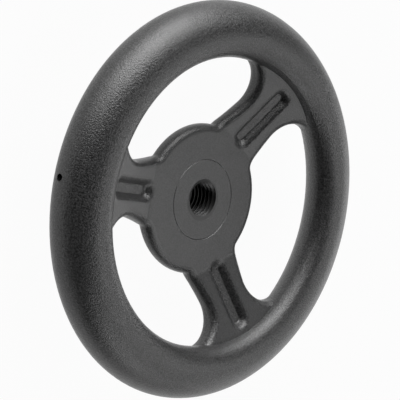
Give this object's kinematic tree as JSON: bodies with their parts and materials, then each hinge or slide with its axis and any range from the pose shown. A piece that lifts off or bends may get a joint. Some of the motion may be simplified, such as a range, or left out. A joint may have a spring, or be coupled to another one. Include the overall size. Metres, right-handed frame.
{
  "type": "machine handwheel",
  "caption": "Dished round handwheel moulded in black plastic: fat oval rim, waisted spokes with a long slot in the front of each, and a hub with a threaded bore.",
  "frame": {"origin": "on the spindle axis at the back face of the hub boss", "axes": "+Z along the spindle axis, out of the front of the wheel; one spoke points along -X"},
  "size_m": [0.16, 0.16, 0.0354],
  "materials": {
    "black_plastic": "fine eroded grain with a low sheen"
  },
  "bodies": {
    "root": {"handwheel": "black_plastic"}
  },
  "joints": []
}
